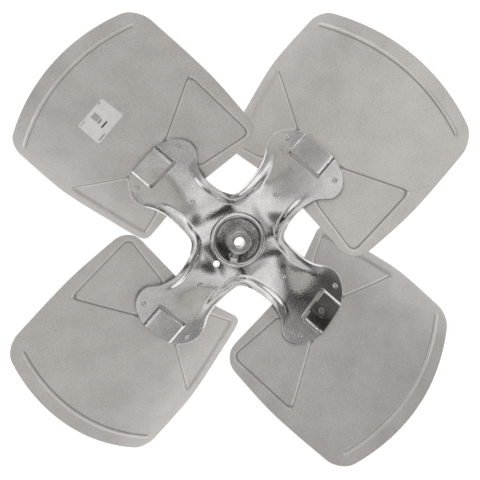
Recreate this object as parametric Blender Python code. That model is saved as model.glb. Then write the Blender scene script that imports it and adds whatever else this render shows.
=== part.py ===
# Four-blade condenser fan propeller, spider side up, resting on the low corners of its blades.
# Lengths are in millimetres and become metres when a mesh is made.
# Each arm has its own frame: u runs outward, v runs clockwise and w runs up the fan axis.

import math

import bmesh
import bpy
from mathutils import Matrix, Vector

METRE = 0.001
ARM_ANGLES = (135.0, 45.0, -45.0, -135.0)

# sheet thicknesses, and the clearance between pieces that touch
BLADE_SHEET = 1.5
SPIDER_SHEET = 2.6
CLIP_SHEET = 0.9
CLEARANCE = 0.3

# the dished surface that blades and spider arms share
SEAT_HEIGHT = -16.8
SEAT_RADIUS = 178.0
PITCH_SLOPE = 0.558
CAMBER = -0.00217
CAMBER_SHIFT = 0.0000071
TWIST = -0.00074
CONE_SLOPE = -0.038
CONE_CURVE = -0.00032

# blade outline: tip circle, corner sizes (across, along), side edges as (u, v), root edge as (v, u)
TIP_RADIUS = 302.4
TIP_LEAN = 0.0728
TIP_FLATTEN = 0.000577
LEAD_SIDE = ((60, 112), (93, 118.5), (150, 126.5), (194, 129), (253, 130), (280, 130.2))
TRAIL_SIDE = ((60, -68), (85, -79), (127, -87), (179, -95.5), (215, -97), (284, -95))
ROOT_EDGE = ((-80, 73.5), (-27, 80.5), (-20, 61), (20, 61), (27, 80), (90, 72), (130, 69))
LEAD_TIP_CORNER = (18.0, 23.0)
TRAIL_TIP_CORNER = (13.0, 17.0)
LEAD_ROOT_CORNER = (20.0, 22.0)
TRAIL_ROOT_CORNER = (8.0, 8.0)

# stiffening bead along the tip
BEAD_INSET = 18.8
BEAD_WIDTH = 7.0
BEAD_HEIGHT = 1.6

# pressed panels: step middles as (v, u) for the crease and root line and (u, v) for the rest
PANEL_DEPTH = 1.5
PANEL_STEP = 3.0
CREASE = ((-86, 185), (-30, 147), (38, 146.5), (104, 174), (130, 185))
ROOT_LINE = ((-95, 79), (-71, 83), (-39, 91), (-28, 92), (-20, 72), (20, 72), (28, 93),
             (37, 94.5), (100, 80), (130, 76))
SIDE_LINE = ((70, 105), (88, 107), (175, 111), (230, 113.5), (290, 114))
LEAD_START = ((90, 32.5), (98, 35.5), (104, 43), (108, 47), (116, 50), (126, 49), (135, 44),
              (141, 36), (146, 29))
TRAIL_START = ((81, -32.5), (95, -35.5), (106, -40.5), (113, -43), (125, -43.5), (136, -37.5),
               (142, -31), (146, -25))
TIP_STEPS = (45.0, 32.0, BEAD_INSET + BEAD_WIDTH / 2, BEAD_INSET, BEAD_INSET - BEAD_WIDTH / 2,
             10.0, 6.0, 3.0, 1.0, 0.0)

# spider: web disc, crown ring, arm edges and arm middle at matching stations
WEB_HEIGHT = -15.0
WEB_RADIUS = 56.0
HUB_HOLE = 11.0
DISH_DEPTH = 1.4
CROWN_RADIUS = 29.4
CROWN_HALF_WIDTH = 3.5
CROWN_HEIGHT = 2.5
WEB_RINGS = (HUB_HOLE, 18.5, 25.9, 27.6, 29.4, 31.2, 32.9, 40.5, 44.0, 48.0, 52.0, WEB_RADIUS)
WEB_COLUMNS = (-45, -41.5, -37.5, -32, -24, -18, -7, 5, 16, 23, 32, 37.5, 41.5, 45)
ARM_LEAD = ((39.6, 39.6), (45, 37), (53, 34), (60, 31.8), (67, 30.6), (75, 30.4), (83, 31.2),
            (90, 33.3), (98, 37), (104.5, 43.2), (111, 49), (120, 51.3), (129, 49.3),
            (136.5, 43.8), (142, 36.5), (146.5, 28))
ARM_TRAIL = ((39.6, -39.6), (45, -37.6), (52, -35.6), (60, -34.4), (68, -34), (76, -34),
             (84, -34.8), (92, -36.6), (99, -39), (106, -42.4), (113, -44.8), (121, -45.6),
             (129, -43.2), (136, -38.6), (142, -32), (146.8, -23))
ARM_MIDDLE = (WEB_RADIUS, 60, 64.5, 69.5, 75, 80.5, 86, 92, 98.5, 105, 111, 117, 121, 130.5, 140, 149.5)
ARM_ROWS = (1, 2, 3, 4, 5, 6, 7, 8, 9, 9.5, 10, 10.5, 11, 11.6, 12, 12.5, 13, 13.5, 14, 14.5, 15)
ARM_BLEND = (40.5, 50.5)

# rolled lip along each window edge
LIP_HEIGHT = 4.4
LIP_CREST = 4.0
LIP_FOOT = 12.0
LIP_WIDER = 4.5
LIP_RISE = 6.5
LIP_EDGE_SHARE = 0.55
LIP_FADE = (88.0, 112.0)

# raised balancing pad on each arm, with the slot along its inner side
PAD_HEIGHT = 3.3
PAD_TRAIL = (-21.3, -18.7)
PAD_LEAD = (18.5, 22.3)
PAD_ROW = 12
SLOT_U = (116.9, 122.2)
SLOT_V = (-21.0, 22.0)

# rivets by the places of their heads, the index hole, and the balance clip with its rivet
RIVET_PLACES = ((129.3, 37.2), (129.8, -33.5), (70.5, -1.7))
RIVET_SHANK = 2.2
RIVET_HEAD = 3.5
RIVET_SEGMENTS = 12
INDEX_HOLE_RADIUS = 4.0
INDEX_HOLE_PLACE = (38.3, 0.7)
BALANCE_PLACE = (131.7, -0.9)
BALANCE_HEAD = 4.1
CLIP_WIDTH = 13.0
CLIP_END = 138.0

# hub barrel and set screw
BORE_RADIUS = 6.35
BARREL_RADIUS = 14.3
BARREL_TOP = 11.0
SPIGOT_RADIUS = 10.7
SCREW_HEIGHT = -2.0
SCREW_ANGLE = -107.0
SCREW_RADIUS = 3.75
SCREW_HEAD = 9.4
SCREW_HEAD_START = 20.3
SCREW_HEAD_LENGTH = 8.0

for leftover in list(bpy.data.objects):
    bpy.data.objects.remove(leftover)


def smooth_step(value):
    """Nought below 0, one above 1 and a smooth rise between."""
    value = min(1.0, max(0.0, value))
    return value * value * (3.0 - 2.0 * value)


def between(stations, where):
    """Straight-line reading of (place, value) stations."""
    if where <= stations[0][0]:
        return stations[0][1]
    for (left, low), (right, high) in zip(stations, stations[1:]):
        if where <= right:
            return low + (high - low) * (where - left) / (right - left)
    return stations[-1][1]


def spline(stations, where):
    """Smooth curve through evenly numbered stations, read at a fractional number."""
    last = len(stations) - 1
    index = min(int(where), last - 1)
    part = where - index
    nodes = [Vector(stations[min(last, max(0, index + step))]) for step in (-1, 0, 1, 2)]
    rise = nodes[2] - nodes[0]
    bend = 2 * nodes[0] - 5 * nodes[1] + 4 * nodes[2] - nodes[3]
    close = 3 * nodes[1] - 3 * nodes[2] + nodes[3] - nodes[0]
    return nodes[1] + 0.5 * part * (rise + part * (bend + part * close))


def seat_height(u, v):
    """Height of the shared dished surface."""
    reach = u - SEAT_RADIUS
    dish = PITCH_SLOPE * v + CAMBER * v * v + CAMBER_SHIFT * v ** 3
    return SEAT_HEIGHT + dish + TWIST * reach * v + CONE_SLOPE * reach + CONE_CURVE * reach * reach


def seat_normal(u, v):
    """Unit normal of the shared surface, facing up."""
    step = 0.5
    slope_u = (seat_height(u + step, v) - seat_height(u - step, v)) / (2 * step)
    slope_v = (seat_height(u, v + step) - seat_height(u, v - step)) / (2 * step)
    return Vector((-slope_u, -slope_v, 1.0)).normalized()


def seat_point(u, v, lift=0.0):
    """Point of the shared surface, lifted straight up so as to lie that far from it."""
    return Vector((u, v, seat_height(u, v) + lift / seat_normal(u, v).z))


def placed(point, angle):
    """Point of an arm frame in the frame of the whole fan, in metres."""
    u, v, w = point
    turn = math.radians(angle)
    x = u * math.cos(turn) + v * math.sin(turn)
    y = u * math.sin(turn) - v * math.cos(turn)
    return Vector((x, y, w)) * METRE


def placed_direction(direction, angle):
    """Direction of an arm frame in the frame of the whole fan."""
    return (placed(direction, angle) / METRE).normalized()


def made_object(name, mesh_data, material=None):
    """New object in the scene from a filled bmesh."""
    bmesh.ops.recalc_face_normals(mesh_data, faces=mesh_data.faces)
    mesh = bpy.data.meshes.new(name)
    mesh_data.to_mesh(mesh)
    mesh_data.free()
    thing = bpy.data.objects.new(name, mesh)
    bpy.context.scene.collection.objects.link(thing)
    if material:
        mesh.materials.append(material)
    return thing


def shade(thing, angle):
    """Smooth shading with edges sharper than an angle left crisp."""
    thing.data.shade_smooth()
    thing.data.set_sharp_from_angle(angle=math.radians(angle))


def metal(name, colour, roughness, metallic):
    """Principled metal for one piece."""
    material = bpy.data.materials.new(name)
    material.use_nodes = True
    shader = material.node_tree.nodes["Principled BSDF"]
    shader.inputs["Base Color"].default_value = (*colour, 1.0)
    shader.inputs["Roughness"].default_value = roughness
    shader.inputs["Metallic"].default_value = metallic
    return material


def add_sheet(mesh_data, rows):
    """Quads between rows of points."""
    grid = [[mesh_data.verts.new(point) for point in row] for row in rows]
    for low, high in zip(grid, grid[1:]):
        for index in range(len(low) - 1):
            mesh_data.faces.new((low[index], low[index + 1], high[index + 1], high[index]))


def add_prism(mesh_data, low, high):
    """Closed prism between two matching outlines."""
    lower = [mesh_data.verts.new(point) for point in low]
    upper = [mesh_data.verts.new(point) for point in high]
    mesh_data.faces.new(lower)
    mesh_data.faces.new(upper)
    for index in range(len(lower)):
        after = (index + 1) % len(lower)
        mesh_data.faces.new((lower[index], lower[after], upper[after], upper[index]))


def thicken(thing, thickness):
    """Solid sheet of even thickness about the drawn surface."""
    solid = thing.modifiers.new("sheet", "SOLIDIFY")
    solid.thickness = thickness * METRE
    solid.offset = 0.0
    solid.use_even_offset = True
    solid.use_quality_normals = True


def add_round_cutter(mesh_data, centre, direction, radius, length, segments):
    """Cylinder about a centre, along a direction."""
    turn = direction.to_track_quat("Z", "Y").to_matrix().to_4x4()
    bmesh.ops.create_cone(
        mesh_data, cap_ends=True, segments=segments, radius1=radius * METRE,
        radius2=radius * METRE, depth=length * METRE, matrix=Matrix.Translation(centre) @ turn)


def cut(thing, mesh_data, name):
    """Takes the shapes in a bmesh away from an object."""
    tool = made_object(name, mesh_data)
    tool.hide_render = True
    tool.display_type = "WIRE"
    boolean = thing.modifiers.new(name, "BOOLEAN")
    boolean.operation = "DIFFERENCE"
    boolean.solver = "EXACT"
    boolean.object = tool


def add_turned(mesh_data, profile, segments, centre=Vector((0, 0, 0)), direction=Vector((0, 0, 1))):
    """Turned solid from (radius, height) points; a radius of nought closes an end."""
    turn = direction.to_track_quat("Z", "Y").to_matrix()
    rings = []
    for radius, height in profile:
        count = segments if radius > 0 else 1
        ring = []
        for index in range(count):
            angle = 2 * math.pi * index / segments
            local = Vector((radius * math.cos(angle), radius * math.sin(angle), height)) * METRE
            ring.append(mesh_data.verts.new(centre + turn @ local))
        rings.append(ring)
    pairs = list(zip(rings, rings[1:]))
    if profile[0][0] > 0:
        pairs.append((rings[-1], rings[0]))
    for low, high in pairs:
        for index in range(segments):
            after = (index + 1) % segments
            corners = [low[index % len(low)], low[after % len(low)]]
            corners += [high[after % len(high)], high[index % len(high)]]
            unique = list(dict.fromkeys(corners))
            if len(unique) > 2:
                mesh_data.faces.new(unique)


def tip_u(v):
    """Outer end of a blade at a sideways place."""
    radius = TIP_RADIUS + TIP_LEAN * v - TIP_FLATTEN * v * v
    return math.sqrt(radius * radius - v * v)


def corner_cut(distance, corner):
    """Sideways loss of a rounded corner at a distance from its end."""
    across, along = corner
    if distance >= along:
        return 0.0
    return across * (1.0 - math.sqrt(1.0 - (1.0 - distance / along) ** 2))


def blade_u(kind, value, v):
    """Outward place of a blade row at a sideways place."""
    tip = tip_u(v)
    root_line = between(ROOT_LINE, v) + PANEL_STEP / 2
    crease = between(CREASE, v) - PANEL_STEP / 2
    if kind == "tip":
        return tip - value
    if kind == "field":
        start = crease + PANEL_STEP
        return start + (tip - TIP_STEPS[0] - start) * value
    if kind == "crease":
        return crease + value
    if kind == "panel":
        return root_line + (crease - root_line) * value
    if kind == "line":
        return root_line - value
    return between(ROOT_EDGE, v) + value


def blade_columns(lead, trail, u):
    """Sideways places across one blade row, from the trailing to the leading side."""
    trail_start = between(TRAIL_START, u)
    lead_start = between(LEAD_START, u)
    trail_flat = trail_start + PANEL_STEP
    lead_flat = lead_start - PANEL_STEP
    columns = [trail + (trail_start - trail) * part for part in (0.0, 0.08, 0.16, 0.45, 0.75, 1.0)]
    trail_tongue = max(-27.0, trail_flat + 4.0)
    lead_tongue = min(27.0, lead_flat - 4.0)
    columns += [trail_flat, trail_tongue, trail_tongue + 7.0, 2.0, lead_tongue - 7.0, lead_tongue]
    side = min(between(SIDE_LINE, u), lead - 8.0)
    inner = side - PANEL_STEP / 2
    columns.append(lead_flat)
    columns += [lead_start + (inner - lead_start) * part for part in (0.0, 0.35, 0.7, 1.0)]
    columns += [side + PANEL_STEP / 2, lead - 4.5, lead]
    return columns


def blade_rows():
    """Rows of (u, v, lift) points over one blade, from root to tip."""
    kinds = [("root", 0.0), ("root", 1.5), ("root", 4.5), ("line", PANEL_STEP), ("line", 0.0),
             ("panel", 0.35), ("panel", 0.7), ("crease", 0.0), ("crease", PANEL_STEP),
             ("field", 0.35), ("field", 0.7)]
    kinds += [("tip", step) for step in TIP_STEPS]
    rows = []
    for number, (kind, value) in enumerate(kinds):
        lead, trail = LEAD_SIDE[2][1], TRAIL_SIDE[2][1]
        for _ in range(4):
            lead = between(LEAD_SIDE, blade_u(kind, value, lead))
            trail = between(TRAIL_SIDE, blade_u(kind, value, trail))
        if kind == "tip":
            lead -= corner_cut(value, LEAD_TIP_CORNER)
            trail += corner_cut(value, TRAIL_TIP_CORNER)
        if kind in ("root", "line"):
            lead_gap = blade_u(kind, value, lead) - between(ROOT_EDGE, lead)
            trail_gap = blade_u(kind, value, trail) - between(ROOT_EDGE, trail)
            lead -= corner_cut(lead_gap, LEAD_ROOT_CORNER)
            trail += corner_cut(trail_gap, TRAIL_ROOT_CORNER)
        middle = blade_u(kind, value, (lead + trail) / 2)
        columns = blade_columns(lead, trail, middle)
        columns = blade_columns(lead, trail, blade_u(kind, value, columns[5]))[:8] + columns[8:]
        right = blade_columns(lead, trail, blade_u(kind, value, columns[13]))
        columns = columns[:10] + right[10:]
        row = []
        for index, v in enumerate(columns):
            lift = 0.0
            if kind == "tip" and value == BEAD_INSET and 1 < index < 17:
                lift = BEAD_HEIGHT
            lead_panel = 12 < index < 17 and 3 < number < 8
            trail_panel = index < 6 and 3 < number < 8
            rounded = index == 16 and number in (4, 7)
            if (lead_panel or trail_panel) and not rounded:
                lift = -PANEL_DEPTH
            if index == 0 and number in (4, 7, 8):
                lift = -PANEL_DEPTH / 2
            row.append((blade_u(kind, value, v), v, lift))
        rows.append(row)
    return rows


def rivet_axis(place, angle, lift):
    """Foot on the blade surface and direction of a rivet whose head lies over a place."""
    normal = seat_normal(*place)
    u = place[0] - normal.x * lift
    v = place[1] - normal.y * lift
    normal = seat_normal(u, v)
    return placed((u, v, seat_height(u, v)), angle), placed_direction(normal, angle)


def build_blade(name, angle, material):
    """One blade with its bead, pressed panels and rivet holes."""
    mesh_data = bmesh.new()
    rows = blade_rows()
    add_sheet(mesh_data, [[placed(seat_point(*spot), angle) for spot in row] for row in rows])
    blade = made_object(name, mesh_data, material)
    thicken(blade, BLADE_SHEET)
    holes = bmesh.new()
    for place in RIVET_PLACES:
        foot, way = rivet_axis(place, angle, RIVET_LIFT)
        add_round_cutter(holes, foot, way, RIVET_SHANK + CLEARANCE, 12.0, RIVET_SEGMENTS)
    cut(blade, holes, name + "_holes")
    shade(blade, 35)


def window_edge():
    """Points along both window edges of an arm."""
    points = []
    for stations in (ARM_LEAD, ARM_TRAIL):
        line = [spline(stations, step / 3) for step in range(3 * (len(stations) - 4) + 1)]
        points += list(zip(line, line[1:]))
    return points


def edge_distance(u, v):
    """Distance in the plan from the nearer window edge of an arm."""
    best = 1e9
    spot = Vector((u, v))
    for start, end in WINDOW_EDGE:
        along = end - start
        part = (spot - start).dot(along) / along.length_squared
        nearest = start + along * min(1.0, max(0.0, part))
        best = min(best, (spot - nearest).length)
    return best


def lip_lift(u, v, radius):
    """Height of the rolled lip above the sheet around it."""
    inset = edge_distance(u, v)
    wider = smooth_step((radius - 46.0) / 14.0) * (1.0 - smooth_step((radius - 72.0) / 22.0))
    foot = LIP_FOOT + LIP_WIDER * wider
    if inset < LIP_CREST:
        share = 1.0 - (1.0 - LIP_EDGE_SHARE) * (1.0 - inset / LIP_CREST) ** 2
    else:
        share = smooth_step((foot - inset) / min(LIP_RISE, foot - LIP_CREST))
    return LIP_HEIGHT * share * (1.0 - smooth_step((u - LIP_FADE[0]) / (LIP_FADE[1] - LIP_FADE[0])))


def spider_height(u, v):
    """Middle height of the spider sheet: level web, pitched arm, dished hub floor, crown and lip."""
    radius = math.hypot(u, v)
    swing = abs(math.degrees(math.atan2(v, u)))
    arm_share = smooth_step((radius - ARM_BLEND[0]) / (ARM_BLEND[1] - ARM_BLEND[0]))
    arm_share *= 1.0 - smooth_step((swing - 21.0) / 24.0) * (1.0 - smooth_step((radius - 68.0) / 26.0))
    arm = seat_point(u, v, ARM_LIFT).z
    height = WEB_HEIGHT + (arm - WEB_HEIGHT) * arm_share
    height += CROWN_HEIGHT * max(0.0, 1.0 - ((radius - CROWN_RADIUS) / CROWN_HALF_WIDTH) ** 2)
    height -= DISH_DEPTH * (1.0 - smooth_step((radius - 18.5) / 8.0))
    return height + (lip_lift(u, v, radius) if radius > 36.0 else 0.0)


def arm_columns(lead, trail):
    """Sideways places across one arm row."""
    lead_share = min(1.0, (lead - 13.0) / PAD_LEAD[1])
    trail_share = min(1.0, (trail + 13.0) / PAD_TRAIL[0])
    columns = [trail, trail + 4.0, trail + 8.0, trail + 12.0]
    columns += [side * trail_share for side in (*PAD_TRAIL, -7.0)]
    columns += [side * lead_share for side in (5.0, *PAD_LEAD)]
    return columns + [lead - 12.0, lead - 8.0, lead - 4.0, lead]


def spider_rows(angle):
    """Rows of points over one quarter of the spider, from the hub hole out."""
    rows = []
    for radius in WEB_RINGS:
        row = []
        for swing in WEB_COLUMNS:
            u = radius * math.cos(math.radians(swing))
            v = radius * math.sin(math.radians(swing))
            row.append(placed((u, v, spider_height(u, v)), angle))
        rows.append(row)
    arcs = [math.sin(math.radians(swing)) / math.sin(math.radians(45)) for swing in WEB_COLUMNS]
    for station in ARM_ROWS:
        lead = spline(ARM_LEAD, station)
        trail = spline(ARM_TRAIL, station)
        middle = spline([(value, 0.0) for value in ARM_MIDDLE], station).x
        share = min(1.0, station / 4.0)
        row = []
        for index, (arc, line) in enumerate(zip(arcs, arm_columns(lead.y, trail.y))):
            curved = arc * (lead.y if arc > 0 else -trail.y)
            v = curved + (line - curved) * share
            end = lead if v > 0 else trail
            u = middle + (end.x - middle) * (v / end.y) ** 2
            height = spider_height(u, v)
            if station >= PAD_ROW and 5 <= index <= 8:
                height += PAD_HEIGHT / seat_normal(u, v).z
            row.append(placed((u, v, height), angle))
        rows.append(row)
    return rows


def add_slot_cutter(mesh_data, angle):
    """Upright slot shape with rounded ends."""
    middle = sum(SLOT_U) / 2
    radius = (SLOT_U[1] - SLOT_U[0]) / 2
    outline = []
    for end, start in ((SLOT_V[1] - radius, 0), (SLOT_V[0] + radius, 180)):
        for step in range(5):
            turn = math.radians(start + 45 * step)
            outline.append((middle + radius * math.cos(turn), end + radius * math.sin(turn)))
    low = [placed((u, v, -60.0), angle) for u, v in outline]
    high = [placed((u, v, 40.0), angle) for u, v in outline]
    add_prism(mesh_data, low, high)


def build_spider(material):
    """Pressed spider with crown, lips, pads, slots and holes."""
    mesh_data = bmesh.new()
    for angle in ARM_ANGLES:
        add_sheet(mesh_data, spider_rows(angle))
    bmesh.ops.remove_doubles(mesh_data, verts=mesh_data.verts, dist=0.00005)
    spider = made_object("spider", mesh_data, material)
    thicken(spider, SPIDER_SHEET)
    holes = bmesh.new()
    for angle in ARM_ANGLES:
        add_slot_cutter(holes, angle)
        for place in RIVET_PLACES:
            foot, way = rivet_axis(place, angle, RIVET_LIFT)
            add_round_cutter(holes, foot, way, RIVET_SHANK + CLEARANCE, 16.0, RIVET_SEGMENTS)
    index_spot = placed((*INDEX_HOLE_PLACE, WEB_HEIGHT), ARM_ANGLES[3])
    add_round_cutter(holes, index_spot, Vector((0, 0, 1)), INDEX_HOLE_RADIUS, 12.0, 20)
    foot, way = rivet_axis(BALANCE_PLACE, ARM_ANGLES[2], BALANCE_LIFT)
    add_round_cutter(holes, foot, way, RIVET_SHANK + CLEARANCE, 24.0, RIVET_SEGMENTS)
    cut(spider, holes, "spider_holes")
    shade(spider, 40)


def build_rivet(name, place, angle, material, head, lift, top, bottom):
    """One dimpled rivet that holds sheets between a top and a bottom face."""
    high = top + CLEARANCE
    low = bottom - CLEARANCE
    profile = ((0.0, high + 0.7), (0.5 * head, high + 1.05), (0.86 * head, high + 0.95),
               (head, high + 0.4), (head, high), (RIVET_SHANK, high), (RIVET_SHANK, low),
               (0.92 * head, low), (0.8 * head, low - 1.1), (0.0, low - 1.1))
    foot, way = rivet_axis(place, angle, lift)
    mesh_data = bmesh.new()
    add_turned(mesh_data, profile, RIVET_SEGMENTS, foot, way)
    shade(made_object(name, mesh_data, material), 40)


def build_clip(material):
    """Balance clip folded round the inner edge of one pad."""
    u, v = BALANCE_PLACE
    angle = ARM_ANGLES[2]
    foot, way = rivet_axis(BALANCE_PLACE, angle, BALANCE_LIFT)
    outward = placed_direction((1.0, 0.0, 0.0), angle)
    outward = (outward - way * outward.dot(way)).normalized()
    across = way.cross(outward)
    inner = SLOT_U[1] - CLEARANCE - u
    outer = CLIP_END - u
    roof = PAD_TOP + CLEARANCE
    under = PAD_TOP - SPIDER_SHEET - CLEARANCE
    fold = CLIP_SHEET * 0.45
    profile = ((outer, roof), (inner, roof), (inner, under), (outer - 4.0, under),
               (outer - 4.0, under - CLIP_SHEET), (inner - CLIP_SHEET + fold, under - CLIP_SHEET),
               (inner - CLIP_SHEET, under - CLIP_SHEET + fold),
               (inner - CLIP_SHEET, roof + CLIP_SHEET - fold),
               (inner - CLIP_SHEET + fold, roof + CLIP_SHEET), (outer, roof + CLIP_SHEET))
    sides = []
    for side in (-CLIP_WIDTH / 2, CLIP_WIDTH / 2):
        sides.append([foot + (outward * reach + way * rise + across * side) * METRE
                      for reach, rise in profile])
    mesh_data = bmesh.new()
    add_prism(mesh_data, *sides)
    clip = made_object("balance_clip", mesh_data, material)
    hole = bmesh.new()
    add_round_cutter(hole, foot, way, RIVET_SHANK + CLEARANCE, 30.0, RIVET_SEGMENTS)
    cut(clip, hole, "clip_hole")
    shade(clip, 40)


def build_barrel(material):
    """Turned hub barrel, staked through the web, with its set screw hole."""
    floor = WEB_HEIGHT - DISH_DEPTH
    web_top = floor + SPIDER_SHEET / 2 + CLEARANCE
    web_bottom = floor - SPIDER_SHEET / 2 - CLEARANCE
    profile = ((BORE_RADIUS + 0.8, web_bottom - 1.6), (12.4, web_bottom - 1.6), (12.4, web_bottom),
               (SPIGOT_RADIUS, web_bottom), (SPIGOT_RADIUS, web_top), (17.4, web_top),
               (17.4, web_top + 1.4), (15.6, web_top + 3.0), (BARREL_RADIUS, web_top + 6.0),
               (BARREL_RADIUS, BARREL_TOP - 2.6), (12.9, BARREL_TOP - 1.3),
               (10.6, BARREL_TOP), (BORE_RADIUS + 1.0, BARREL_TOP),
               (BORE_RADIUS, BARREL_TOP - 1.0), (BORE_RADIUS, web_bottom - 0.8))
    mesh_data = bmesh.new()
    add_turned(mesh_data, profile, 32)
    barrel = made_object("hub_barrel", mesh_data, material)
    turn = math.radians(SCREW_ANGLE)
    way = Vector((math.cos(turn), math.sin(turn), 0.0))
    centre = (way * 12.0 + Vector((0, 0, SCREW_HEIGHT))) * METRE
    hole = bmesh.new()
    add_round_cutter(hole, centre, way, SCREW_RADIUS + CLEARANCE, 16.0, 16)
    cut(barrel, hole, "screw_hole")
    shade(barrel, 30)


def build_screw(material):
    """Square-head set screw pointing at the bore."""
    turn = math.radians(SCREW_ANGLE)
    way = Vector((math.cos(turn), math.sin(turn), 0.0))
    base = Vector((0, 0, SCREW_HEIGHT)) * METRE
    mesh_data = bmesh.new()
    profile = ((0.0, 7.2), (SCREW_RADIUS - 0.9, 7.2), (SCREW_RADIUS, 8.1),
               (SCREW_RADIUS, SCREW_HEAD_START + 1.0), (0.0, SCREW_HEAD_START + 1.0))
    add_turned(mesh_data, profile, 16, base, way)
    screw = made_object("set_screw", mesh_data, material)
    head = bmesh.new()
    middle = base + way * (SCREW_HEAD_START + SCREW_HEAD_LENGTH / 2) * METRE
    size = Matrix.Diagonal((SCREW_HEAD_LENGTH, SCREW_HEAD, SCREW_HEAD, 1.0))
    spin = Matrix.Rotation(turn, 4, "Z")
    scale = Matrix.Scale(METRE, 4)
    bmesh.ops.create_cube(head, size=1.0, matrix=Matrix.Translation(middle) @ spin @ scale @ size)
    bmesh.ops.bevel(head, geom=head.edges, offset=0.6 * METRE, segments=1, affect="EDGES")
    block = made_object("screw_head", head)
    block.hide_render = True
    block.display_type = "WIRE"
    join = screw.modifiers.new("head", "BOOLEAN")
    join.operation = "UNION"
    join.solver = "EXACT"
    join.object = block
    shade(screw, 30)


def stand_on_floor():
    """Lifts every mesh so that the lowest blade corners touch the floor."""
    bpy.context.view_layer.update()
    graph = bpy.context.evaluated_depsgraph_get()
    lowest = 1.0
    for thing in bpy.data.objects:
        if thing.name.startswith("blade") and not thing.hide_render:
            mesh = thing.evaluated_get(graph).to_mesh()
            lowest = min(lowest, min(vertex.co.z for vertex in mesh.vertices))
    for thing in bpy.data.objects:
        thing.data.transform(Matrix.Translation((0, 0, -lowest)))


ARM_LIFT = (BLADE_SHEET + SPIDER_SHEET) / 2 + CLEARANCE
SPIDER_TOP = ARM_LIFT + SPIDER_SHEET / 2
PAD_TOP = SPIDER_TOP + PAD_HEIGHT
RIVET_LIFT = SPIDER_TOP + 0.8
BALANCE_LIFT = PAD_TOP + CLEARANCE + CLIP_SHEET + 0.8
WINDOW_EDGE = window_edge()

blade_aluminium = metal("blade_aluminium", (0.42, 0.4, 0.38), 0.48, 0.7)
spider_steel = metal("spider_steel", (0.62, 0.62, 0.6), 0.3, 0.95)
rivet_steel = metal("rivet_steel", (0.55, 0.55, 0.53), 0.35, 0.95)
hub_steel = metal("hub_steel", (0.45, 0.45, 0.44), 0.38, 0.95)
clip_steel = metal("clip_steel", (0.1, 0.095, 0.09), 0.45, 0.8)

build_spider(spider_steel)
for number, arm_angle in enumerate(ARM_ANGLES, start=1):
    build_blade(f"blade_{number}", arm_angle, blade_aluminium)
    for letter, spot in zip("abc", RIVET_PLACES):
        build_rivet(f"rivet_{number}{letter}", spot, arm_angle, rivet_steel, RIVET_HEAD,
                    RIVET_LIFT, SPIDER_TOP, -BLADE_SHEET / 2)
build_clip(clip_steel)
build_rivet("balance_rivet", BALANCE_PLACE, ARM_ANGLES[2], clip_steel, BALANCE_HEAD, BALANCE_LIFT,
            PAD_TOP + CLEARANCE + CLIP_SHEET, PAD_TOP - SPIDER_SHEET - CLEARANCE - CLIP_SHEET)
build_barrel(hub_steel)
build_screw(hub_steel)
stand_on_floor()
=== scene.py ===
# Four-blade condenser fan propeller, lying on a pale floor with its spider side up.
# Lengths are in millimetres and become metres when a mesh is made.
# Each arm has its own frame: u runs outward, v clockwise and w up the fan axis.

import math

import bmesh
import bpy
import numpy as np
from mathutils import Matrix, Vector


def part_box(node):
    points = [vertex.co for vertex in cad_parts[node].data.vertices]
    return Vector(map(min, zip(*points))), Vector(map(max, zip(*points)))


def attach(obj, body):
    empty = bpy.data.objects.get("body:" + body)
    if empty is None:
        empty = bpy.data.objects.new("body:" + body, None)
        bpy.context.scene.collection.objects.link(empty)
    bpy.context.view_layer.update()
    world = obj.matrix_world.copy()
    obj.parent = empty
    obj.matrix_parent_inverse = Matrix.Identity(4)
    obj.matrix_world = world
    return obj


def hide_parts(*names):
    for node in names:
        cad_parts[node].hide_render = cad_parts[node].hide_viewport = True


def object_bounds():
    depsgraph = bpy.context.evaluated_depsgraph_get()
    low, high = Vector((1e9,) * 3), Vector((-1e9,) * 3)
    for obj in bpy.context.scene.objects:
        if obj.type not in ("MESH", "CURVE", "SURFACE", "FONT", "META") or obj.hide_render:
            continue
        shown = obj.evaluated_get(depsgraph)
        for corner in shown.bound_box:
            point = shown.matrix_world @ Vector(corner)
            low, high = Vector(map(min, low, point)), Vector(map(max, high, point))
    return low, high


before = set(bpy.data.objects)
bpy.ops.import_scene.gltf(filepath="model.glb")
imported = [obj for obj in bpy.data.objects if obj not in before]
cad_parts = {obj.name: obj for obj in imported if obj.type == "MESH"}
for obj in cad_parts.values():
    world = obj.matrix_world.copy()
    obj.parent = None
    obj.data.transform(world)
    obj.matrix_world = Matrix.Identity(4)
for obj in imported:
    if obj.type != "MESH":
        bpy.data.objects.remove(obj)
cadLow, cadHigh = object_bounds()
scene = bpy.context.scene
print("frame loaded:", len(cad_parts), "solids")

fan = {
    "armAngles": (135.0, 45.0, -45.0, -135.0),
    "bladeSheet": 1.5,
    "spiderSheet": 2.6,
    "clearance": 0.3,
    "barrelTop": 11.0,
}
# how high the fan's own zero lies over the floor
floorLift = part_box("hub_barrel")[1].z * 1000 - fan["barrelTop"]

cameraView = {
    "lens": 172.6,
    "sensorWidth": 36.0,
    "farthest": 60.0,        # metres that the camera sees
    "distance": 2728.0,      # from the hub
    "lean": 9.2,             # degrees off the fan axis
    "leanTowards": 119.05,   # degrees in the fan's own plane
    "pictureUp": 86.05,      # direction in that plane that points up in the picture
    "aside": (1.37, 1.65),   # how far the aim lies right of the hub and above it
}


def pointing(turn, rise=0.0):
    # unit direction at a turn round the fan axis and a rise over level, both in degrees
    turn, rise = math.radians(turn), math.radians(rise)
    return Vector((math.cos(turn) * math.cos(rise), math.sin(turn) * math.cos(rise), math.sin(rise)))


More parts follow.
